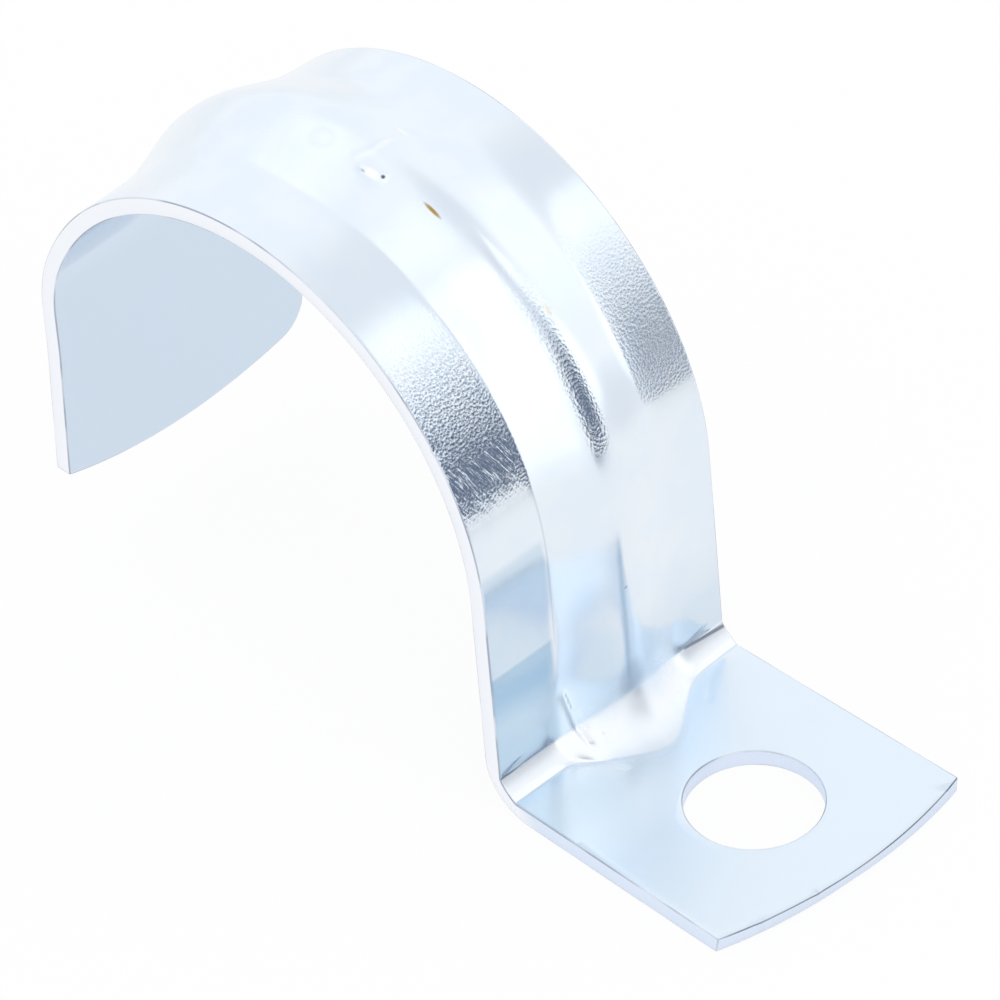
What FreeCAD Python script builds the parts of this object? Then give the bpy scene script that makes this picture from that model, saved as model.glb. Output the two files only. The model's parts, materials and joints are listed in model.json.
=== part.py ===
import FreeCAD, Part
import math
import os

# One-hole strap for 1-inch thin-wall conduit, pressed from a single strip of zinc-plated steel.
# Origin: centre of the screw hole, in the plane of the foot's underside.
# +X runs from the arch out along the foot, Y lies along the conduit, +Z leaves the wall.

os.makedirs("parts", exist_ok=True)

Vector = FreeCAD.Vector

# Strip
SHEET = 0.95
ARCH_WIDTH = 15.6
FOLD_WIDTH = 15.75
FOOT_END_WIDTH = 16.2
FREE_END_NEAR = 8.1
FREE_END_FAR = 8.6

# Foot and its screw hole, which is a little off the strip's middle line
HOLE_RADIUS = 3.5
HOLE_OFFSET = 0.22
HOLE_TO_ARCH = 25.65
HOLE_TO_FOOT_CORNER = 5.9
FOOT_END_BOW = 1.2
FOOT_END_SKEW = 0.38
FOOT_END_SLANT = 0.35

# Arch, measured on the side that grips the conduit
SEAT_RADIUS = 14.8
SEAT_HEIGHT = 11.8
LEG_LEAN = math.radians(2.8)
SHOULDER_START = math.radians(23.0)
SHOULDER_RADIUS = 7.85
FREE_LEAN = math.radians(2.4)
FREE_CORNER_HEIGHT = 4.2
FREE_END_BOW = 1.15

# Fold between the long leg and the foot
FOLD_RADIUS = 1.2
HEEL_RADIUS = 2.9

# Stiffening rib over the arch and down the long leg
RIB_HEIGHT = 1.35
RIB_HALF_WIDTH = 3.9
RIB_OFFSET = 0.4
CREST_SOFTNESS = 1.2
RIB_FADE_START = math.radians(143.0)
FADE_RADIUS = 7.5
FADE_TURN = 60.0
TOE_RADIUS = 1.8

# Construction allowances
SPARE = 5.0
CUT_OVERLAP = 0.05
RIB_SKIRT = 0.8
RIB_ROOT = 2.0
TOE_DIP = 0.45
TOE_START = math.radians(20.0)
TOE_STEPS = 6
SECTION_POINTS = 17

OUTER_RADIUS = SEAT_RADIUS + SHEET
ARCH_X = -HOLE_TO_ARCH
SHOULDER_SHIFT = SEAT_RADIUS - SHOULDER_RADIUS


def point(x, z):
    """A point of the side view."""
    return Vector(x, 0, z)


def on_arch(angle, radius):
    """Point on the arch, at an angle measured from the foot's side."""
    return point(ARCH_X + radius * math.cos(angle), SEAT_HEIGHT + radius * math.sin(angle))


def on_shoulder(angle, radius):
    """Point on the tighter bend between the arch and the free leg."""
    centre = on_arch(math.pi - SHOULDER_START, SHOULDER_SHIFT)
    return centre + radius * point(math.cos(angle), math.sin(angle))


def leg_side(depth, fold_radius, foot_height):
    """Top and bottom of the long leg, and the middle and end of the fold, on one face of the sheet."""
    top = on_arch(LEG_LEAN, OUTER_RADIUS - depth)
    reach = (top.z - foot_height) * math.tan(LEG_LEAN)
    corner = point(top.x + reach, foot_height)
    half_turn = (math.pi / 2 - LEG_LEAN) / 2
    tangent = fold_radius * math.tan(half_turn)
    bottom = corner + tangent * point(-math.sin(LEG_LEAN), math.cos(LEG_LEAN))
    end = corner + point(tangent, 0)
    centre = end + point(0, fold_radius)
    toward_corner = (corner - centre).normalize()
    return top, bottom, centre + fold_radius * toward_corner, end


def free_side(depth):
    """Top and bottom of the free leg on one face of the sheet."""
    top = on_shoulder(math.pi + FREE_LEAN, SHOULDER_RADIUS + SHEET - depth)
    bottom_height = FREE_CORNER_HEIGHT - FREE_END_BOW - SPARE
    run = (top.z - bottom_height) * math.tan(FREE_LEAN)
    return top, point(top.x + run, bottom_height)


def sheet_face(depth, fold_radius, foot_height):
    """Edges of one face of the sheet in the side view, from the free leg to the foot's end."""
    arch_radius = OUTER_RADIUS - depth
    shoulder_radius = SHOULDER_RADIUS + SHEET - depth
    shoulder_angle = math.pi - SHOULDER_START
    crown_angle = (shoulder_angle + LEG_LEAN) / 2
    free_top, free_bottom = free_side(depth)
    arch_start = on_arch(shoulder_angle, arch_radius)
    shoulder_middle = on_shoulder((math.pi + FREE_LEAN + shoulder_angle) / 2, shoulder_radius)
    leg_top, leg_bottom, fold_middle, fold_end = leg_side(depth, fold_radius, foot_height)
    foot_end = point(HOLE_TO_FOOT_CORNER + FOOT_END_BOW + SPARE, foot_height)
    return [
        Part.LineSegment(free_bottom, free_top),
        Part.Arc(free_top, shoulder_middle, arch_start),
        Part.Arc(arch_start, on_arch(crown_angle, arch_radius), leg_top),
        Part.LineSegment(leg_top, leg_bottom),
        Part.Arc(leg_bottom, fold_middle, fold_end),
        Part.LineSegment(fold_end, foot_end),
    ]


def filled_form(depth, fold_radius, foot_height):
    """Everything on the wall side of one face of the sheet, over-wide and over-long."""
    face_edges = sheet_face(depth, fold_radius, foot_height)
    start = face_edges[0].StartPoint
    end = face_edges[-1].EndPoint
    start_below = point(start.x, -SPARE - depth)
    end_below = point(end.x, -SPARE - depth)
    closing = [(end, end_below), (end_below, start_below), (start_below, start)]
    edges = [curve.toShape() for curve in face_edges]
    edges += [Part.LineSegment(a, b).toShape() for a, b in closing]
    section = Part.Face(Part.Wire(edges))
    section.translate(Vector(0, -FOOT_END_WIDTH, 0))
    return section.extrude(Vector(0, 2 * FOOT_END_WIDTH, 0))


def outline_prism(ring, bow_middle, direction):
    """Prism over an outline whose closing side is an arc through bow_middle."""
    sides = [Part.LineSegment(a, b).toShape() for a, b in zip(ring, ring[1:])]
    sides.append(Part.Arc(ring[-1], bow_middle, ring[0]).toShape())
    return Part.Face(Part.Wire(sides)).extrude(direction)


def foot_half():
    """Plan outline of the half with the foot, slightly wider towards its end, left over-long."""
    fold_x = leg_side(0, FOLD_RADIUS, SHEET)[3].x
    end_x = HOLE_TO_FOOT_CORNER + FOOT_END_BOW + SPARE
    widening = (FOOT_END_WIDTH - FOLD_WIDTH) / (HOLE_TO_FOOT_CORNER - fold_x)
    end_width = FOLD_WIDTH + widening * (end_x - fold_x)
    far_side = [
        Vector(end_x, end_width / 2, -SPARE),
        Vector(fold_x, FOLD_WIDTH / 2, -SPARE),
        Vector(ARCH_X, ARCH_WIDTH / 2, -SPARE),
    ]
    near_side = [Vector(corner.x, -corner.y, corner.z) for corner in reversed(far_side)]
    height = SEAT_HEIGHT + OUTER_RADIUS + 2 * SPARE
    plan = Part.Face(Part.makePolygon(far_side + near_side + far_side[:1]))
    return plan.extrude(Vector(0, 0, height))


def foot_end_cut():
    """What the shear takes off beyond the foot: bowed, a little skew, and slanting under."""
    half = FOOT_END_WIDTH / 2 + CUT_OVERLAP
    slope = FOOT_END_SLANT / SHEET
    base_x = HOLE_TO_FOOT_CORNER - slope * (SPARE + SHEET)
    far_x = HOLE_TO_FOOT_CORNER + 2 * SPARE
    ring = [
        Vector(base_x + FOOT_END_SKEW, half, -SPARE),
        Vector(base_x + FOOT_END_SKEW, half + SPARE, -SPARE),
        Vector(far_x, half + SPARE, -SPARE),
        Vector(far_x, -half - SPARE, -SPARE),
        Vector(base_x - FOOT_END_SKEW, -half - SPARE, -SPARE),
        Vector(base_x - FOOT_END_SKEW, -half, -SPARE),
    ]
    height = 2 * SPARE
    return outline_prism(ring, Vector(base_x + FOOT_END_BOW, 0, -SPARE), Vector(slope * height, 0, height))


def free_half():
    """End outline of the half with the free leg: flared below the arch, with a bowed end."""
    outside_x = ARCH_X - OUTER_RADIUS - SPARE
    top_height = SEAT_HEIGHT + OUTER_RADIUS + SPARE
    ring = [
        Vector(outside_x, FREE_END_FAR, FREE_CORNER_HEIGHT),
        Vector(outside_x, ARCH_WIDTH / 2, SEAT_HEIGHT),
        Vector(outside_x, ARCH_WIDTH / 2, top_height),
        Vector(outside_x, -ARCH_WIDTH / 2, top_height),
        Vector(outside_x, -ARCH_WIDTH / 2, SEAT_HEIGHT),
        Vector(outside_x, -FREE_END_NEAR, FREE_CORNER_HEIGHT),
    ]
    bow_middle = Vector(outside_x, 0, FREE_CORNER_HEIGHT - FREE_END_BOW)
    return outline_prism(ring, bow_middle, Vector(ARCH_X - outside_x, 0, 0))


def rib_rise(y):
    """Height of the rib above the sheet: two flat flanks that meet in a rounded crest."""
    base = math.hypot(RIB_HALF_WIDTH, CREST_SOFTNESS) - CREST_SOFTNESS
    return RIB_HEIGHT * (1 - (math.hypot(y, CREST_SOFTNESS) - CREST_SOFTNESS) / base)


def rib_section(base, out):
    """Face across the rib: its roof over a root buried under the skin, at one place along it."""
    reach = RIB_HALF_WIDTH + RIB_SKIRT
    roof = []
    for index in range(SECTION_POINTS):
        y = reach * (2 * index / (SECTION_POINTS - 1) - 1)
        roof.append(base + rib_rise(y) * out + Vector(0, RIB_OFFSET + y, 0))
    skin = Part.BSplineCurve()
    skin.interpolate(roof)
    root_end = base - RIB_ROOT * out + Vector(0, RIB_OFFSET + reach, 0)
    root_start = root_end - Vector(0, 2 * reach, 0)
    sides = [(roof[-1], root_end), (root_end, root_start), (root_start, roof[0])]
    return Part.Wire([skin.toShape()] + [Part.LineSegment(a, b).toShape() for a, b in sides])


def arch_section(angle, depth):
    """Rib section standing square to the arch."""
    out = point(math.cos(angle), math.sin(angle))
    return rib_section(on_arch(angle, OUTER_RADIUS - depth), out)


def toe_sections(depth, toe_radius, foot_height):
    """Level rib sections that flare where the leg runs into the foot, lowest first."""
    sections = []
    leg_top = on_arch(LEG_LEAN, OUTER_RADIUS - depth)
    centre_height = foot_height - TOE_DIP + toe_radius
    for index in range(TOE_STEPS + 1):
        turn = TOE_START + (math.pi / 2 - TOE_START) * index / TOE_STEPS
        height = centre_height - toe_radius * math.cos(turn)
        push = toe_radius * (1 - math.sin(turn))
        x = leg_top.x + (leg_top.z - height) * math.tan(LEG_LEAN) + push
        sections.append(rib_section(point(x, height), point(1, 0)))
    return sections


def rib_body(depth, toe_radius, foot_height):
    """Rib under one face of the sheet: toe, long leg, arch, and its dip back into the sheet."""
    toe = toe_sections(depth, toe_radius, foot_height)
    leg_end = arch_section(LEG_LEAN, depth)
    arch_turn = math.degrees(RIB_FADE_START - LEG_LEAN)
    fade_axis = on_arch(RIB_FADE_START, OUTER_RADIUS - FADE_RADIUS)
    fade_start = Part.Face(arch_section(RIB_FADE_START, depth))
    across = Vector(0, -1, 0)
    return [
        Part.makeLoft(toe, True),
        Part.makeLoft([toe[-1], leg_end], True, True),
        Part.Face(leg_end).revolve(point(ARCH_X, SEAT_HEIGHT), across, arch_turn),
        fade_start.revolve(fade_axis, across, FADE_TURN),
    ]


def form(depth, fold_radius, toe_radius, foot_height):
    """The filled form with the rib raised on it."""
    filled = filled_form(depth, fold_radius, foot_height)
    return filled.fuse(rib_body(depth, toe_radius, foot_height)).removeSplitter()


def strap():
    """The sheet between its outer and inner forms, trimmed to the strip's outline, with its hole."""
    sheet = form(0, FOLD_RADIUS, TOE_RADIUS, SHEET).cut(form(SHEET, HEEL_RADIUS, HEEL_RADIUS, 0))
    long_strip = sheet.common(foot_half()).fuse(sheet.common(free_half())).removeSplitter()
    hole_start = Vector(0, HOLE_OFFSET, -SPARE)
    hole = Part.makeCylinder(HOLE_RADIUS, SHEET + 2 * SPARE, hole_start)
    finished = long_strip.cut(foot_end_cut()).cut(hole)
    finished.translate(Vector(0, -HOLE_OFFSET, 0))
    return finished


shape = strap()
shape.exportStep("parts/strap.step")
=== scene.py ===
import json
import math

import bmesh
import bpy
from mathutils import Matrix, Vector


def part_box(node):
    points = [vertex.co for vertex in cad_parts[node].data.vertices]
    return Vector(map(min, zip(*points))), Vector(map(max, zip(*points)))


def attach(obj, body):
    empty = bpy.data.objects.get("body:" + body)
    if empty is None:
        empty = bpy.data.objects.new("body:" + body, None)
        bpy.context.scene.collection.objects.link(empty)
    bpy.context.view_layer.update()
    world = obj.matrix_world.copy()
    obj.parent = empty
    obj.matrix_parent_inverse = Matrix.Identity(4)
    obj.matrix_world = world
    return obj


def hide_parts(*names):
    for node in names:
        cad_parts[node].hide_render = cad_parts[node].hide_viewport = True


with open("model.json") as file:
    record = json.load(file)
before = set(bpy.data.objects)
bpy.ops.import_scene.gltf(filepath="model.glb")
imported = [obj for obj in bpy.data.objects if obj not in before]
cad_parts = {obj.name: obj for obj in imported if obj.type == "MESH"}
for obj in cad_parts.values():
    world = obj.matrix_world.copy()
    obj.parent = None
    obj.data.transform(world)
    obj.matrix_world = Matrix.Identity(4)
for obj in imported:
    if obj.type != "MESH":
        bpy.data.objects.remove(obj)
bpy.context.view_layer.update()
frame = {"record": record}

mounts = {mount["name"]: mount for mount in frame["record"]["mounts"]}

# Strap -----------------------------------------------------------------------------------------
# One strip of sheet steel, sheared to length and punched for the screw, then pressed over a form
# that bends the arch and raises the stiffening rib. The press tool leaves its marks at the rib's
# toe and on the crown. Sizes in this section are in millimetres, and the near edge is at low y.

MM = 0.001
strap_high = Vector(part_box("strap")[1]) / MM
arch_x, _, seat_height = Vector(mounts["conduit_seat"]["pos_m"]) / MM
hole_radius = mounts["screw_hole"]["dims"]["r_mm"]

# The sheet, and the strip's half widths from its middle line, which passes just beside the hole's
# centre. The free end's far side stays just inside the box that the frame gives.
sheet = 0.95
middle_y = -0.22
arch_half_width = 7.8
fold_half_width = 7.875
foot_half_width = 8.1
free_near_width = 8.1
edge_allowance = 0.04
free_far_width = strap_high.y - middle_y - edge_allowance

# The bends, and the two legs' lean from upright.
seat_radius = 14.8
outer_radius = seat_radius + sheet
leg_lean = math.radians(2.8)
free_lean = math.radians(2.4)
fold_radius = 0.95
fold_flatness = 0.75
heel_radius = 2.9
shoulder_start = math.radians(23.0)
shoulder_radius = 7.85 + sheet
shoulder_turn = shoulder_start + free_lean

# The bowed ends. The foot's end wall slants, less at its corners than in its middle.
foot_corner = 5.895
foot_end_bow = 1.2
foot_end_skew = 0.38
foot_end_slant = 0.35
foot_near_slant = 0.2
foot_far_slant = 0.08
free_corner_height = 4.2
free_end_bow = 1.15
free_corner_radius = 1.6

# The rib. It flares on its near side at the fold, and its far root is softer than its near one. Past
# the arch's top it shifts to the far side, softens at both roots and fades out.
rib_height = 1.35
rib_half_width = 3.9
rib_offset = 0.4
crest_softness = 1.2
root_softness = 0.08
far_root_softness = 0.28
late_root_softness = 0.4
late_shift = 0.45
toe_radius = 2.3
toe_flare = 0.13
toe_roundness = 0.6
flare_heights = (4.2, 8.2)
rib_fade_start = math.radians(143.0)
rib_fade_rate = 0.055


def smooth_step(value, low, high):
    """0 below low, 1 above high, and an easy curve between them."""
    share = min(1.0, max(0.0, (value - low) / (high - low)))
    return share * share * (3 - 2 * share)


def roof(y):
    """Height of the rib's two flat flanks and rounded crest; it goes below zero beyond them."""
    base = math.hypot(rib_half_width, crest_softness) - crest_softness
    return rib_height * (1 - (math.hypot(y - rib_offset, crest_softness) - crest_softness) / base)


def raised(height, softness):
    """The part of a height above the sheet, with a small fillet where it leaves the sheet."""
    return (height + math.hypot(height, softness)) / 2


def rib_at(y, past_top=0.0, past_fade=0.0, flare=0.0):
    """Height of the rib at a place across the strip."""
    if y < rib_offset:
        y = rib_offset + (y - rib_offset) * (1 - toe_flare * flare)
    softness = root_softness + far_root_softness * smooth_step(y, 1.5, 3.5)
    softness += late_root_softness * smooth_step(past_top, 2.0, 13.0)
    shift = late_shift * smooth_step(past_top, 0.0, 12.0)
    scale = rib_height / raised(rib_height, softness)
    return scale * raised(roof(y - shift) - rib_fade_rate * past_fade**2, softness)


def bow(y, half_width, rise):
    """How far a bowed end stands out from its corners."""
    radius = (half_width**2 + rise**2) / (2 * rise)
    return math.sqrt(radius**2 - y**2) - (radius - rise)


def leg_x(z, depth):
    """Where the long leg's face stands at a height."""
    top_x = arch_x + (outer_radius - depth) * math.cos(leg_lean)
    top_z = seat_height + (outer_radius - depth) * math.sin(leg_lean)
    return top_x + (top_z - z) * math.tan(leg_lean)


# Each stretch of the strip has a function for a point of one of its faces: t runs from 0 to 1 along
# the stretch, y goes across, and depth is 0 on the outer face and the sheet's on the inner one.
def fold_point(t, y, depth):
    """The fold, from the foot to the leg: a partly flattened curve, rounder under the rib's toe."""
    rise = rib_at(y, flare=1.0)
    share = rise / rib_height
    radius = heel_radius if depth else fold_radius + (toe_radius - fold_radius) * share
    level = 0.0 if depth else sheet
    corner_x = leg_x(level, depth) + rise
    full_turn = math.pi / 2 - leg_lean
    reach = radius * math.tan(full_turn / 2)
    centre = Vector((corner_x + reach, level + radius))
    arc = centre - radius * Vector((math.sin(t * full_turn), math.cos(t * full_turn)))
    start = centre - radius * Vector((0, 1))
    end = centre - radius * Vector((math.sin(full_turn), math.cos(full_turn)))
    flatness = 0.0 if depth else fold_flatness * (1 - toe_roundness * share)
    return arc.lerp(start.lerp(end, t), flatness)


rings_x = -4.25


def foot_point(t, y, depth):
    """The foot, from the fold to where the rings round the hole begin."""
    start = fold_point(0, y, depth)[0]
    return start + t * (rings_x - start), 0.0 if depth else sheet


def leg_point(t, y, depth):
    """The long leg, from the fold to the arch."""
    low_z = fold_point(1, y, depth)[1]
    top_z = seat_height + (outer_radius - depth) * math.sin(leg_lean)
    z = low_z + t * (top_z - low_z)
    return leg_x(z, depth) + rib_at(y, flare=1 - smooth_step(z, *flare_heights)), z


def arch_point(t, y, depth):
    """The arch, from the long leg over the top to the shoulder."""
    angle = leg_lean + t * (math.pi - shoulder_start - leg_lean)
    past_top = outer_radius * (angle - math.pi / 2)
    past_fade = outer_radius * max(0.0, angle - rib_fade_start)
    radius = outer_radius - depth + rib_at(y, past_top, past_fade)
    return arch_x + radius * math.cos(angle), seat_height + radius * math.sin(angle)


shoulder_past_top = outer_radius * (math.pi / 2 - shoulder_start)
shoulder_past_fade = outer_radius * (math.pi - shoulder_start - rib_fade_start)
shoulder_x = arch_x - (outer_radius - shoulder_radius) * math.cos(shoulder_start)
shoulder_z = seat_height + (outer_radius - shoulder_radius) * math.sin(shoulder_start)


def shoulder_point(t, y, depth):
    """The shoulder, the tighter bend from the arch to the free leg."""
    turn = t * shoulder_turn
    angle = math.pi - shoulder_start + turn
    rise = rib_at(y, shoulder_past_top, shoulder_past_fade + shoulder_radius * turn)
    radius = shoulder_radius - depth + rise
    return shoulder_x + radius * math.cos(angle), shoulder_z + radius * math.sin(angle)


def free_point(t, y, depth):
    """The short free leg, down to its bowed end with a rounded corner on the far side."""
    angle = math.pi + free_lean
    radius = shoulder_radius - depth
    top_x = shoulder_x + radius * math.cos(angle)
    top_z = shoulder_z + radius * math.sin(angle)
    end_z = free_corner_height - bow(y, free_near_width if y < 0 else free_far_width, free_end_bow)
    corner = y - (free_far_width - free_corner_radius)
    if corner > 0:
        end_z += free_corner_radius - math.sqrt(max(0.0, free_corner_radius**2 - corner**2))
    z = top_z + t * (end_z - top_z)
    past_fade = shoulder_past_fade + shoulder_radius * shoulder_turn
    rise = rib_at(y, shoulder_past_top, past_fade + top_z - z)
    return top_x + (top_z - z) * math.tan(free_lean) - rise, z


def half_widths(point_at, t):
    """The strip's two half widths: drawn in at the arch, wider at the foot and the free end."""
    x, z = point_at(t, -arch_half_width, 0.0)
    if x < arch_x:
        share = min(1.0, max(0.0, (seat_height - z) / (seat_height - free_corner_height)))
        near = arch_half_width + share * (free_near_width - arch_half_width)
        far = arch_half_width + share * (free_far_width - arch_half_width)
        return near, far
    fold_x = fold_point(0, arch_half_width, 0.0)[0]
    if x < fold_x:
        share = (x - arch_x) / (fold_x - arch_x)
        width = arch_half_width + share * (fold_half_width - arch_half_width)
        return width, width
    share = (x - fold_x) / (foot_corner - fold_x)
    width = fold_half_width + share * (foot_half_width - fold_half_width)
    return width, width


# The mesh has columns across the strip, in two plain bands and the rib, finer at each one's ends.
band_steps = 14
band_crowding = 0.6
rib_steps = 56
rib_crowding = 0.4


def crowded(share, crowding):
    """An even share moved toward the nearer end, which makes the steps there finer."""
    return (1 - crowding) * share + crowding * (1 - math.cos(share * math.pi)) / 2


def across(near_width, far_width):
    """Places of the mesh's columns across the strip."""
    near_root = rib_offset - rib_half_width
    far_root = rib_offset + rib_half_width
    band = [crowded(step / band_steps, band_crowding) for step in range(band_steps)]
    rib = [crowded(step / rib_steps, rib_crowding) for step in range(rib_steps + 1)]
    places = [-near_width + share * (near_root + near_width) for share in band]
    places += [near_root + share * (far_root - near_root) for share in rib]
    places += [far_width - share * (far_width - far_root) for share in reversed(band)]
    return places


# Its rows go along the strip: each stretch, its number of rows, and their spacing. The leg's are
# closer near the fold, and the arch's near its top.
stretches = [
    (foot_point, 20, lambda t: 1 - t),
    (fold_point, 26, lambda t: t),
    (leg_point, 60, lambda t: 0.5 * t + 0.5 * t * t),
    (arch_point, 170, lambda t: t + 0.06 * math.sin(2 * math.pi * t)),
    (shoulder_point, 16, lambda t: t),
    (free_point, 36, lambda t: t),
]
stations = [(foot_point, 1.0)]
for point_at, steps, spacing in stretches:
    stations += [(point_at, spacing((step + 1) / steps)) for step in range(steps)]

# The outer and inner faces, as rows of points that share one layout. Each place in it is the run,
# measured along the near band from the hole's centre, and the distance across.
near_band_y = -6.0
faces_of_sheet = {0.0: [], sheet: []}
layout = []
run_here = -rings_x
before = None
for point_at, t in stations:
    band_point = Vector(point_at(t, near_band_y, 0.0))
    if before:
        run_here += (band_point - before).length
    before = band_point
    columns_here = across(*half_widths(point_at, t))
    layout.append([(run_here, y) for y in columns_here])
    for depth, rows in faces_of_sheet.items():
        row = []
        for y in columns_here:
            x, z = point_at(t, y, depth)
            row.append(Vector((x, y, z)))
        rows.append(row)
columns = len(layout[0])

# Marks of the press tool and of handling: place along and across the strip, half length, half
# width, and push outwards. Creases have a path of such places, a half width and a push.
marks = [
    (42.6, -0.95, 0.75, 0.42, -0.13),
    (41.9, -0.85, 0.16, 0.14, -0.10),
    (42.9, -1.15, 0.18, 0.12, -0.08),
    (42.5, -1.65, 0.7, 0.2, 0.03),
    (45.8, -0.85, 0.75, 0.6, -0.05),
    (45.8, -0.85, 0.35, 0.28, 0.06),
    (43.4, 2.2, 0.6, 0.35, -0.025),
    (29.6, -7.75, 0.14, 0.35, -0.10),
]
creases = [
    ([(9.15, -2.75), (10.4, -3.05), (12.4, -3.45)], 0.12, -0.08),
    ([(9.6, -2.55), (10.9, -2.95)], 0.10, -0.05),
    ([(7.0, 4.05), (7.9, 5.3), (8.3, 6.4)], 0.20, -0.025),
    ([(7.2, -2.35), (8.2, -2.75), (8.75, -3.8)], 0.22, -0.04),
    ([(9.9, -7.5), (10.3, -6.4)], 0.10, -0.04),
    ([(9.8, 5.5), (10.3, 6.9)], 0.10, -0.05),
    ([(42.4, 1.3), (43.2, 0.3), (43.7, -0.8)], 0.14, -0.05),
]
least_push = 0.001


def crease_distance(run, y, a, b):
    """Distance from a place on the strip to one straight stretch of a crease."""
    along = Vector(b) - Vector(a)
    to_place = Vector((run, y)) - Vector(a)
    share = min(1.0, max(0.0, to_place.dot(along) / along.length_squared))
    return (to_place - share * along).length


def pressed(run, y):
    """How far the outer face is pushed in (below 0) or out at a place on the strip."""
    push_here = 0.0
    for at_run, at_y, long, wide, push in marks:
        away = ((run - at_run) / long) ** 2 + ((y - at_y) / wide) ** 2
        push_here += push * math.exp(-away)
    for path, wide, push in creases:
        nearest = min(crease_distance(run, y, a, b) for a, b in zip(path, path[1:]))
        push_here += push * math.exp(-((nearest / wide) ** 2))
    return push_here


def push_marks(rows):
    """Moves the outer face in or out where it is marked, square to the sheet."""
    moved = []
    for index, row in enumerate(rows):
        row_before = rows[max(index - 1, 0)]
        row_after = rows[min(index + 1, len(rows) - 1)]
        moved_row = []
        for column, point in enumerate(row):
            across_row = row[min(column + 1, columns - 1)] - row[max(column - 1, 0)]
            along_strip = row_after[column] - row_before[column]
            push = pressed(*layout[index][column])
            if abs(push) > least_push:
                point = point + push * across_row.cross(along_strip).normalized()
            moved_row.append(point)
        moved.append(moved_row)
    return moved


faces_of_sheet[0.0] = push_marks(faces_of_sheet[0.0])

# The foot round the hole is rings of points, from the hole's rim out to the foot's outline. The
# nicks in its end have a place across, a half width and a depth.
side_steps = 30
hole_rings = 9
nicks = [(-5.6, 0.22, 0.16), (-2.5, 0.3, 0.1), (7.2, 0.2, 0.16)]


def foot_end_point(y, depth):
    """A point of the foot's free end: bowed, skewed, nicked above and slanting in below."""
    share = y / foot_half_width
    x = foot_corner + foot_end_skew * share + bow(y, foot_half_width, foot_end_bow)
    if depth:
        corner_slant = foot_near_slant if y < 0 else foot_far_slant
        return Vector((x - (foot_end_slant + (corner_slant - foot_end_slant) * abs(share)), y, 0.0))
    nick = sum(deep * math.exp(-(((y - at) / wide) ** 2)) for at, wide, deep in nicks)
    return Vector((x - nick / 2, y, -nick))


def foot_outline(depth):
    """The outline of the foot round the hole, anticlockwise, with the first row of points last."""
    first_row = [Vector((point.x, point.y, 0.0)) for point in faces_of_sheet[0.0][0]]
    start_width = first_row[-1].y
    near_side = []
    far_side = []
    for step in range(1, side_steps):
        share = step / side_steps
        half_width = start_width + share * (foot_half_width - start_width)
        near_x = rings_x + (foot_corner - foot_end_skew - rings_x) * share
        far_x = rings_x + (foot_corner + foot_end_skew - rings_x) * share
        near_side.append(Vector((near_x, -half_width, 0.0)))
        far_side.append(Vector((far_x, half_width, 0.0)))
    free_end = [foot_end_point(y, depth) for y in across(foot_half_width, foot_half_width)]
    ring = near_side + free_end + far_side[::-1] + first_row[::-1]
    lift = 0.0 if depth else sheet
    return [point + Vector((0, middle_y, lift)) for point in ring]


vertices = []
faces = []
strip_places = []


def add_vertex(point, run, y):
    """Adds one point, with its place along and across the strip for the finish."""
    vertices.append(point * MM)
    strip_places.append((run, y))
    return len(vertices) - 1


def add_strip(rows):
    """Adds one face of the strip up to the rings, and gives its rows of vertices."""
    table = []
    for row, row_places in zip(rows, layout):
        shifted = [point + Vector((0, middle_y, 0)) for point in row]
        table.append([add_vertex(point, run, y) for point, (run, y) in zip(shifted, row_places)])
    for a, b in zip(table, table[1:]):
        for column in range(columns - 1):
            faces.append((a[column], a[column + 1], b[column + 1], b[column]))
    return table


def add_rings(first_row, depth):
    """Adds one face of the foot round the hole, joined to the strip's first row."""
    outline = foot_outline(depth)
    level = 0.0 if depth else sheet
    rings = []
    for step in range(hole_rings + 1):
        outermost = step == hole_rings
        ring = []
        for place, corner in enumerate(outline):
            from_end = len(outline) - 1 - place
            if outermost and from_end < columns:
                ring.append(first_row[from_end])
                continue
            rim = hole_radius * Vector((corner.x, corner.y, 0)).normalized() + Vector((0, 0, level))
            outside = corner if outermost else Vector((corner.x, corner.y, level))
            point = rim.lerp(outside, step / hole_rings)
            ring.append(add_vertex(point, -point.x, point.y - middle_y))
        rings.append(ring)
    for a, b in zip(rings, rings[1:]):
        for place in range(len(outline)):
            after = (place + 1) % len(outline)
            faces.append((a[place], b[place], b[after], a[after]))
    return rings


outer = add_strip(faces_of_sheet[0.0])
outer_rings = add_rings(outer[0], 0.0)
first_under_face = len(faces)
inner = add_strip(faces_of_sheet[sheet])
inner_rings = add_rings(inner[0], sheet)

# The sheared wall round the strip and the punched wall of the hole.
first_wall_face = len(faces)
around_foot = range(-1, len(outer_rings[-1]) - columns + 1)
near_wall = [[row[0] for row in table] for table in (outer, inner)]
far_wall = [[row[-1] for row in table] for table in (outer, inner)]
foot_wall = [[rings[-1][place] for place in around_foot] for rings in (outer_rings, inner_rings)]
hole_wall = [rings[0] + rings[0][:1] for rings in (outer_rings, inner_rings)]
for top, bottom in (near_wall, (outer[-1], inner[-1]), far_wall, foot_wall, hole_wall):
    for place in range(len(top) - 1):
        faces.append((top[place], top[place + 1], bottom[place + 1], bottom[place]))

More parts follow.
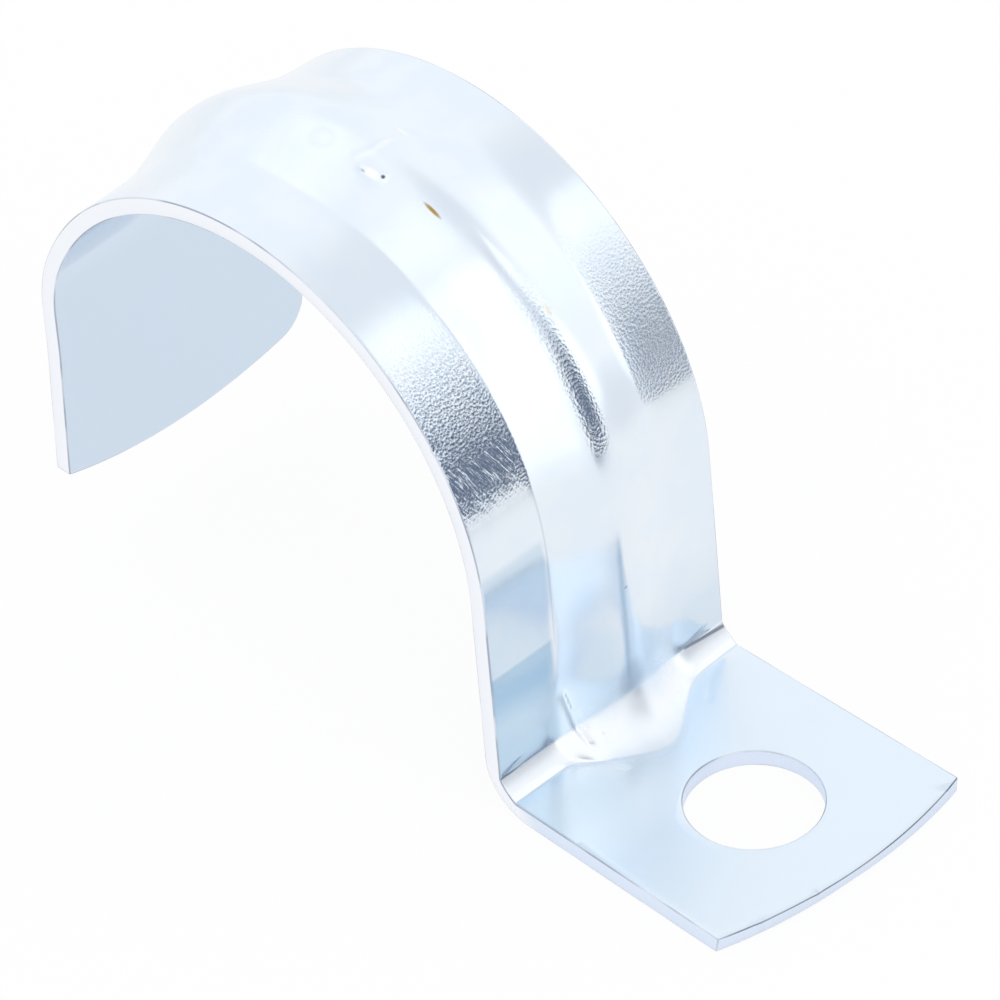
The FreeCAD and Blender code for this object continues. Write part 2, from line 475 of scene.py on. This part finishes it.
strap_mesh = bpy.data.meshes.new("strap_sheet")
strap_mesh.from_pydata(vertices, [], faces)
shell = bmesh.new()
shell.from_mesh(strap_mesh)
bmesh.ops.recalc_face_normals(shell, faces=shell.faces)
shell.to_mesh(strap_mesh)
shell.free()
strap = bpy.data.objects.new("strap_sheet", strap_mesh)
bpy.context.scene.collection.objects.link(strap)
strip_layer = strap_mesh.uv_layers.new(name="strip")
for loop in strap_mesh.loops:
    strip_layer.data[loop.index].uv = strip_places[loop.vertex_index]
cut_edge = strap_mesh.attributes.new("cut_edge", "FLOAT", "FACE")
under_face = strap_mesh.attributes.new("under_face", "FLOAT", "FACE")
for polygon in strap_mesh.polygons:
    polygon.use_smooth = True
    cut_edge.data[polygon.index].value = float(polygon.index >= first_wall_face)
    under_face.data[polygon.index].value = float(first_under_face <= polygon.index < first_wall_face)

# The rounded arrises take the second material, the dark one, which paints shade along them.
rounding = strap.modifiers.new("edge rounding", "BEVEL")
rounding.width = 0.06 * MM
rounding.segments = 2
rounding.limit_method = "ANGLE"
rounding.angle_limit = math.radians(55)
rounding.material = 1
rounding.use_clamp_overlap = False
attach(strap, "root")
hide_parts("strap")

# Bright zinc plating ---------------------------------------------------------------------------
# Electroplated zinc with a clear blue passivate. It keeps the rolled sheet's shine, is grained where
# the bend stretched the sheet and has a few chromate stains. A white highlight along the fold is
# painted, as are reflections and shade in other places.


class Number:
    """A number that varies over a surface. Sums and products of it add their Math nodes."""

    def __init__(self, finish, socket):
        self.finish = finish
        self.socket = socket

    def maths(self, operation, *others):
        node = self.finish.node("ShaderNodeMath", {"operation": operation}, [self, *others])
        return Number(self.finish, node.outputs[0])

    def __add__(self, other):
        return self.maths("ADD", other)

    def __radd__(self, other):
        return self.maths("ADD", other)

    def __mul__(self, other):
        return self.maths("MULTIPLY", other)

    def __rmul__(self, other):
        return self.maths("MULTIPLY", other)

    def __sub__(self, other):
        return self.maths("SUBTRACT", other)

    def __rsub__(self, other):
        return self.maths("MULTIPLY", -1.0) + other

    def __truediv__(self, other):
        return self.maths("DIVIDE", other)

    def __pow__(self, other):
        return self.maths("POWER", other)

    def __abs__(self):
        return self.maths("ABSOLUTE")

    def above(self, low, high):
        """0 up to low and 1 beyond high, eased between."""
        settings = {"interpolation_type": "SMOOTHSTEP"}
        node = self.finish.node("ShaderNodeMapRange", settings, [self, low, high, 0.0, 1.0])
        return Number(self.finish, node.outputs[0])

    def below(self, low, high):
        """1 up to low and 0 beyond high, eased between."""
        return 1.0 - self.above(low, high)

    def between(self, low, high, soft):
        """1 from low to high and 0 outside, eased over soft on both sides of each."""
        return self.above(low - soft, low + soft) * self.below(high - soft, high + soft)

    def within(self, core, reach):
        """1 up to core from zero and 0 beyond reach from it, eased between."""
        return abs(self).below(core, reach)


class Finish:
    """The nodes of a material, or of the tent's cloth."""

    def __init__(self, owner):
        self.owner = owner
        owner.use_nodes = True
        self.tree = owner.node_tree
        self.shader = self.tree.nodes.get("Principled BSDF")

    def join(self, value, socket):
        """Feeds a socket from another one, or sets it to a plain value."""
        source = getattr(value, "socket", value)
        if isinstance(source, bpy.types.NodeSocket):
            self.tree.links.new(source, socket)
        else:
            socket.default_value = source

    def node(self, kind, settings, inputs):
        """Adds a node: its settings first, then its inputs, as a list or by name."""
        node = self.tree.nodes.new(kind)
        for name, value in settings.items():
            setattr(node, name, value)
        named = inputs.items() if isinstance(inputs, dict) else enumerate(inputs)
        for name, value in named:
            self.join(value, node.inputs[name])
        return node

    def noise(self, at, scale, detail, roughness=0.5, dimensions="2D"):
        """A cloudy noise, with values round a half."""
        inputs = {"Vector": at, "Scale": scale, "Detail": detail, "Roughness": roughness}
        clouds = self.node("ShaderNodeTexNoise", {"noise_dimensions": dimensions}, inputs)
        return Number(self, clouds.outputs[0])

    def blend(self, share, a, b):
        """Colour a where share is 0 and colour b where it is 1."""
        node = self.node("ShaderNodeMix", {"data_type": "RGBA"}, {0: share, 6: a, 7: b})
        return node.outputs[2]


# Where a point lies on the strip, in millimetres, and which kind of face it is on.
zinc = Finish(bpy.data.materials.new("bright_zinc"))
on_strip = zinc.node("ShaderNodeUVMap", {"uv_map": "strip"}, []).outputs[0]
run_and_side = zinc.node("ShaderNodeSeparateXYZ", {}, [on_strip])
run, side = (Number(zinc, run_and_side.outputs[axis]) for axis in (0, 1))
edge_mark = zinc.node("ShaderNodeAttribute", {"attribute_name": "cut_edge"}, [])
edge = Number(zinc, edge_mark.outputs["Fac"])
under_mark = zinc.node("ShaderNodeAttribute", {"attribute_name": "under_face"}, [])
inside = Number(zinc, under_mark.outputs["Fac"])


def spot(at_run, at_side, long, wide):
    """An oval patch on the strip, 1 in its middle and 0 outside."""
    away = ((run - at_run) / long) ** 2 + ((side - at_side) / wide) ** 2
    return away.below(0.0, 1.0)


# Soft clouds and long streaks over the whole plating.
cloud = zinc.noise(on_strip, 0.35, 3.0)
streaks_at = zinc.node("ShaderNodeMapping", {}, {"Vector": on_strip, "Scale": (0.5, 3.5, 1.0)})
streak = zinc.noise(streaks_at.outputs[0], 1.0, 4.0)

# The grain of the stretched bend, with short slanting brush strokes on its near band.
crest_and_bands = abs(side - rib_offset).above(3.7, 4.1) + (side - rib_offset).within(0.3, 1.0)
stretched = run.above(25.0, 26.2) * run.below(32.0, 36.5) * crest_and_bands
pebble_inputs = {"Vector": on_strip, "Scale": 6.0}
pebbles = zinc.node("ShaderNodeTexVoronoi", {"voronoi_dimensions": "2D"}, pebble_inputs)
grain = zinc.noise(on_strip, 8.0, 2.0, 0.6) * 0.5 + Number(zinc, pebbles.outputs["Distance"]) * 0.7
stroke_inputs = {"Vector": on_strip, "Rotation": (0, 0, -0.45), "Scale": (1.7, 0.24, 1.0)}
strokes_at = zinc.node("ShaderNodeMapping", {"vector_type": "TEXTURE"}, stroke_inputs)
brush = zinc.noise(strokes_at.outputs[0], 1.0, 2.0)
brushed = run.between(24.8, 28.6, 1.0) * side.below(-4.2, -3.4)
relief_here = stretched * (1.0 - inside) * (1.0 - 0.25 * side.above(-3.6, -3.2))
relief = relief_here * (grain * (0.85 - 0.5 * brushed) + 1.7 * brush * brushed)

# Dark pitting just past the brush strokes, fainter toward the far side.
pits_here = run.above(27.5, 29.5) * run.below(31.0, 35.5) * crest_and_bands * (1.0 - inside)
pitting = zinc.noise(on_strip, 5.5, 3.0, 0.75).above(0.47, 0.62) * pits_here
pitting = pitting * (1.0 - 0.65 * side.above(-2.0, 0.5))

# Yellow chromate on the crest, a faint stain beside it, painted dark reflections along the crest and
# on the far flank, and small specks.
chromate = spot(39.0, -0.52, 0.7, 0.13)
faint_chromate = spot(32.3, 1.0, 0.45, 0.22) * 0.5
crest_reflection_line = (side - 0.02 - 0.1 * streak).within(0.0, 0.28) * run.between(10.5, 20.5, 1.0)
crest_dark_reflection = (side - 0.55 + 0.055 * (run - 27.0)).within(0.0, 0.42) * run.between(29.0, 36.0, 1.5)
flank_dark_reflection = spot(27.0, 2.8, 2.4, 2.6)
specks = spot(9.25, -1.95, 0.07, 0.08) * 0.7 + spot(17.3, 0.3, 0.12, 0.16) * 0.35
specks = specks + spot(-6.2, -5.6, 0.12, 0.12) + spot(-6.72, -2.4, 0.2, 0.07)
specks = specks + spot(-6.38, 7.15, 0.12, 0.1)

# The dents on the crown: painted highlights on their floors, a ring of painted shade and two dark
# dots of painted shade.
dent_painted_highlight = spot(42.45, -1.05, 0.75, 0.3) + spot(43.2, 0.5, 0.25, 0.9) * 0.35
dent_painted_highlight = dent_painted_highlight + spot(43.5, 2.2, 0.6, 0.16) * 0.4
dent_painted_shade_ring = spot(45.8, -0.85, 0.95, 0.75) - spot(45.8, -0.85, 0.7, 0.5)
dent_painted_shade_ring = dent_painted_shade_ring + spot(42.5, -1.3, 1.1, 0.7) * 0.5
dent_painted_dark_dots = spot(41.9, -0.85, 0.16, 0.14) + spot(42.85, -1.15, 0.2, 0.1)

# The long leg: painted reflections as bluer steps up its near band and bluer patches above the fold
# and on the rib's flank, and a thin line of painted shade along the rib's near root.
darkest_reflection_step = run.above(12.6, 14.9) * run.below(15.9, 16.3)
near_reflection_steps = 0.3 * run.between(9.9, 16.1, 0.2) + 0.62 * darkest_reflection_step
near_reflection_steps = near_reflection_steps + 0.38 * run.between(16.1, 22.3, 0.3)
reflection_above_fold = 0.35 * run.above(9.7, 10.0) * run.below(10.5, 17.0)
leg_painted_reflection = side.below(-3.9, -3.5) * near_reflection_steps + reflection_above_fold + 0.22 * spot(14.5, -1.8, 5.0, 1.9)
rib_root_shade = (side + 3.5).within(0.0, 0.09) * run.between(16.0, 35.0, 1.0)

# The fold: a painted white highlight band, ragged and wider at the rib's toe, painted shade on the
# toe and the toe's wear, and a line of painted shade in the pinch near each edge.
toe = spot(9.3, 0.4, 3.0, 4.2)
toe_painted_shade = spot(10.7, 0.3, 1.7, 1.1)
toe_wear = spot(9.3, 0.3, 2.2, 4.2)
ragged_run = run + (zinc.noise(on_strip, 0.9, 1.0) - 0.5) * 0.8 * toe
fold_painted_highlight = ragged_run.above(8.5 - 0.3 * toe, 8.7 + 0.6 * toe)
fold_painted_highlight = fold_painted_highlight * ragged_run.below(9.7 - 0.5 * toe, 9.9 + 0.4 * toe) * (1.0 - inside)
far_crease_shade = (run + 0.09 * side - 10.27).within(0.04, 0.13) * side.above(4.9, 5.2)
near_crease_shade = (run - 9.85).within(0.02, 0.1) * side.below(-7.0, -6.2)

# The tones, each laid over those before it: its share, and its colour.
on_foot = run.below(7.6, 8.6)
# A painted highlight on the foot's near side, toward the fold.
foot_painted_highlight = run.above(1.0, 5.0) * on_foot * side.below(-3.5, 1.0)
tones = [
    (leg_painted_reflection, (0.46, 0.62, 0.77, 1)),
    (crest_reflection_line * 0.5, (0.38, 0.50, 0.64, 1)),
    (crest_dark_reflection * 0.45 + flank_dark_reflection * 0.3, (0.50, 0.56, 0.66, 1)),
    (toe_painted_shade * 0.55, (0.40, 0.47, 0.56, 1)),
    (rib_root_shade * 0.4, (0.45, 0.53, 0.64, 1)),
    (chromate, (0.42, 0.27, 0.06, 1)),
    (faint_chromate, (0.75, 0.62, 0.38, 1)),
    (pitting * 0.65, (0.30, 0.36, 0.46, 1)),
    (dent_painted_dark_dots + specks, (0.06, 0.08, 0.12, 1)),
    (dent_painted_highlight, (0.99, 0.99, 1.0, 1)),
    (dent_painted_shade_ring * 0.35, (0.62, 0.72, 0.82, 1)),
    (fold_painted_highlight * 0.8, (0.93, 0.95, 0.975, 1)),
    (on_foot * 0.9, (0.76, 0.85, 0.935, 1)),
    (foot_painted_highlight * 0.8, (0.96, 0.99, 1.0, 1)),
    ((far_crease_shade + near_crease_shade) * 0.75, (0.16, 0.20, 0.27, 1)),
    # The inner face, painted darker and bluer as shade under the strap.
    (inside * 0.9, (0.62, 0.725, 0.845, 1)),
    (edge, (0.92, 0.945, 0.99, 1)),
    (edge * run.below(7.0, 9.0), (0.76, 0.84, 0.97, 1)),
]
plate = zinc.blend(cloud.above(0.35, 0.65), (0.79, 0.865, 0.945, 1), (0.82, 0.88, 0.94, 1))
for share, tone in tones:
    plate = zinc.blend(share, plate, tone)
zinc.join(plate, zinc.shader.inputs["Base Color"])

# The fold's painted highlight band is less like metal, and cut edges, the toe, the foot and the crown
# are duller.
dulled = 0.14 * side.above(3.0, 4.5) * stretched + 0.08 * run.below(7.5, 8.5)
dulled = dulled + 0.12 * spot(46.5, -1.6, 5.0, 3.0)
roughness = 0.15 + 0.05 * streak + 0.25 * edge + 0.04 * stretched + 0.2 * toe_wear + dulled
zinc.join(1.0 - 0.6 * fold_painted_highlight, zinc.shader.inputs["Metallic"])
zinc.join(roughness, zinc.shader.inputs["Roughness"])
relief_depth = 0.06 * MM
bump = zinc.node("ShaderNodeBump", {}, {"Strength": 0.55, "Distance": relief_depth, "Height": relief})
zinc.join(bump.outputs[0], zinc.shader.inputs["Normal"])
strap_mesh.materials.append(zinc.owner)

# Dark arrises ----------------------------------------------------------------------------------
# The thin rounded corners between the strap's faces and its cut edges, in patchy dark tones that
# paint the thin lines of shade along them. They are darkest round the foot's end.

arris = Finish(bpy.data.materials.new("worn_arris"))
along_arris = arris.node("ShaderNodeTexCoord", {}, []).outputs["Object"]
patchy = arris.noise(along_arris, 260.0, 2.0, dimensions="3D").above(0.42, 0.6)
arris_x = Number(arris, arris.node("ShaderNodeSeparateXYZ", {}, [along_arris]).outputs[0])
# The foot's end is darker still: painted shade.
foot_end = arris_x.above(5.2 * MM, 6.0 * MM)
arris_tone = arris.blend(patchy, (0.42, 0.46, 0.54, 1), (0.72, 0.77, 0.84, 1))
arris_tone = arris.blend(foot_end * 0.7, arris_tone, (0.20, 0.22, 0.27, 1))
arris.join(arris_tone, arris.shader.inputs["Base Color"])
arris.shader.inputs["Metallic"].default_value = 1.0
arris.shader.inputs["Roughness"].default_value = 0.45
strap_mesh.materials.append(arris.owner)

# Floor -----------------------------------------------------------------------------------------
# A sheet of white card on the table, ending a little way past the foot. To the camera and in the
# zinc it is nearly an even white; its light on the strap is that of plain card.

card_turn = math.radians(31.6)
past_foot = Vector((math.cos(card_turn), math.sin(card_turn), 0))
beside = Vector((-past_foot.y, past_foot.x, 0))
card_end = 0.125
card_reach = 2.0
card_glow = 0.93


def flat_board(name, corners, finish):
    """A flat board or card of the studio, from its corners."""
    board_mesh = bpy.data.meshes.new(name)
    board_mesh.from_pydata(corners, [], [tuple(range(len(corners)))])
    board_mesh.materials.append(finish.owner)
    board = bpy.data.objects.new(name, board_mesh)
    bpy.context.scene.collection.objects.link(board)
    return board


white = Finish(bpy.data.materials.new("white_card"))
white.shader.inputs["Base Color"].default_value = (0.9, 0.9, 0.9, 1)
white.shader.inputs["Roughness"].default_value = 0.9
rays = white.node("ShaderNodeLightPath", {}, [])
seen = Number(white, rays.outputs["Is Camera Ray"]).maths("MAXIMUM", rays.outputs["Is Glossy Ray"])
seen = seen.maths("MAXIMUM", rays.outputs["Is Transmission Ray"])
glow = white.node("ShaderNodeEmission", {}, {"Color": (1, 1, 1, 1), "Strength": 1.0})
card_surface = white.tree.nodes["Material Output"].inputs["Surface"]
plain_card = card_surface.links[0].from_socket
card = white.node("ShaderNodeMixShader", {}, [seen * card_glow, plain_card, glow.outputs[0]])
white.join(card.outputs[0], card_surface)
card_corners = []
for along, aside in ((-card_reach, -1), (card_end, -1), (card_end, 1), (-card_reach, 1)):
    card_corners.append(past_foot * along + beside * aside * card_reach)
floor = flat_board("floor", card_corners, white)

# Dark flag -------------------------------------------------------------------------------------
# A dark board standing past the foot, paler at its top and at one side. It is seen only in the
# zinc, where it gives the bends their dark streaks. It is set out from a place on the bend.

bend_place = Vector((-0.0109, -0.006, 0.02))
flag_distance = 0.5
flag_half_width = 0.2
flag_low = -0.085
flag_high = 0.38


def matt(name, colour):
    """A finish of one colour with no shine."""
    finish = Finish(bpy.data.materials.new(name))
    finish.shader.inputs["Base Color"].default_value = colour
    finish.shader.inputs["Roughness"].default_value = 1.0
    finish.shader.inputs["Specular IOR Level"].default_value = 0.0
    return finish


def show_only_in_zinc(board):
    """Leaves a board to reflections alone."""
    board.visible_camera = False
    board.visible_diffuse = False
    board.visible_shadow = False


black = matt("black_board", (0.0, 0.0, 0.0, 1))
board_at = black.node("ShaderNodeTexCoord", {}, []).outputs["Object"]
x, y, height = (
    Number(black, axis) for axis in black.node("ShaderNodeSeparateXYZ", {}, [board_at]).outputs
)
to_side = x * beside.x + y * beside.y
pale = height.above(0.13, 0.35).maths("MAXIMUM", to_side.above(0.12, 0.19))
board_tone = black.blend(pale, (0.10, 0.135, 0.21, 1), (0.95, 0.98, 1.0, 1))
black.join(board_tone, black.shader.inputs["Emission Color"])
black.shader.inputs["Emission Strength"].default_value = 1.0
flag_place = bend_place + past_foot * flag_distance
flag_corners = []
for aside, z in ((-1, flag_low), (1, flag_low), (1, flag_high), (-1, flag_high)):
    flag_corners.append(flag_place + beside * aside * flag_half_width + Vector((0, 0, z)))
flag = flat_board("flag", flag_corners, black)
show_only_in_zinc(flag)

# Camera hood -----------------------------------------------------------------------------------
# A round hood of black cloth about the lens, seen only in the zinc, where it darkens the small
# dents and nicks.

arch_middle = Vector((arch_x, 0, seat_height)) * MM
hood_distance = 0.42
hood_radius = 0.085
hood_corners = 32


def direction(azimuth, elevation):
    """The direction at an angle round from x and an angle above the floor."""
    flat = math.cos(elevation)
    return Vector((math.cos(azimuth) * flat, math.sin(azimuth) * flat, math.sin(elevation)))


toward_hood = direction(math.radians(-43.6), math.radians(41.3))
hood_side = toward_hood.cross(Vector((0, 0, 1))).normalized()
hood_up = hood_side.cross(toward_hood)
hood_middle = arch_middle + toward_hood * hood_distance
hood_rim = []
for step in range(hood_corners):
    turn = step / hood_corners * 2 * math.pi
    outward = math.cos(turn) * hood_side + math.sin(turn) * hood_up
    hood_rim.append(hood_middle + hood_radius * outward)
hood = flat_board("hood", hood_rim, matt("black_cloth", (0.02, 0.02, 0.03, 1)))
show_only_in_zinc(hood)

# Lights ----------------------------------------------------------------------------------------
# A white tent all round, its cloth gathered greyer in one place and lit from outside in three, and
# three soft panels inside it, one in front of the strap and two on its far side.

tent = bpy.data.worlds.new("tent")
bpy.context.scene.world = tent
tent_cloth = Finish(tent)
toward = tent_cloth.node("ShaderNodeTexCoord", {}, []).outputs["Generated"]


def cloth_patch(azimuth, elevation, edge_cosine, middle_cosine):
    """A round soft-edged patch of the tent's cloth, 1 in its middle."""
    middle = direction(math.radians(azimuth), math.radians(elevation))
    facing = tent_cloth.node("ShaderNodeVectorMath", {"operation": "DOT_PRODUCT"}, [toward, middle])
    return Number(tent_cloth, facing.outputs["Value"]).above(edge_cosine, middle_cosine)


gathered = cloth_patch(75, 62, 0.87, 0.99)
lit_above = cloth_patch(-58, 79, 0.965, 0.998)
lit_behind = cloth_patch(178, 47, 0.92, 0.985)
lit_far_side = cloth_patch(86, 17, 0.94, 0.99)
tone = tent_cloth.blend(gathered, (0.985, 0.99, 1.0, 1), (0.84, 0.86, 0.885, 1))
tone = tent_cloth.blend(lit_above + lit_behind + lit_far_side, tone, (1.09, 1.095, 1.1, 1))
background = tent_cloth.tree.nodes["Background"]
tent_cloth.join(tone, background.inputs["Color"])
background.inputs["Strength"].default_value = 1.06


def soft_panel(name, azimuth, elevation, distance, width, height, radiance):
    """A soft rectangular lamp that faces the arch."""
    toward_panel = direction(math.radians(azimuth), math.radians(elevation))
    lamp = bpy.data.lights.new(name, "AREA")
    lamp.shape = "RECTANGLE"
    lamp.size = width
    lamp.size_y = height
    lamp.energy = radiance * math.pi * width * height
    panel = bpy.data.objects.new(name, lamp)
    panel.location = arch_middle + toward_panel * distance
    panel.rotation_euler = toward_panel.to_track_quat("Z", "Y").to_euler()
    bpy.context.scene.collection.objects.link(panel)


soft_panel("front_panel", -12, 34, 0.45, 0.22, 0.58, 0.22)
soft_panel("side_panel", 57, 14, 0.4, 0.1, 0.28, 0.3)
soft_panel("upper_panel", 53, 47, 0.5, 0.17, 0.15, 0.3)

# Camera ----------------------------------------------------------------------------------------
# A long lens that looks down over the foot's near corner, turned a little about its own axis and
# aimed so that the strap fills most of the picture.

camera_azimuth = math.radians(46.42)
camera_elevation = math.radians(41.31)
camera_roll = math.radians(-2.79)
camera_distance = 0.50286
aim_right = 0.00597
aim_up = 0.00407
back = direction(camera_azimuth - math.pi / 2, camera_elevation)
level_right = Vector((math.cos(camera_azimuth), math.sin(camera_azimuth), 0))
level_up = back.cross(level_right)
right = math.cos(camera_roll) * level_right + math.sin(camera_roll) * level_up
up = math.cos(camera_roll) * level_up - math.sin(camera_roll) * level_right
aim = Vector((arch_x, middle_y, 0)) * MM + right * aim_right + up * aim_up
camera_data = bpy.data.cameras.new("camera")
camera_data.sensor_width = 36
camera_data.lens = 360
camera_data.clip_start = 0.01
camera = bpy.data.objects.new("camera", camera_data)
axes = Matrix((right, up, back)).transposed().to_4x4()
camera.matrix_world = Matrix.Translation(aim + back * camera_distance) @ axes
bpy.context.scene.collection.objects.link(camera)
bpy.context.scene.camera = camera
bpy.context.scene.view_settings.view_transform = "Standard"
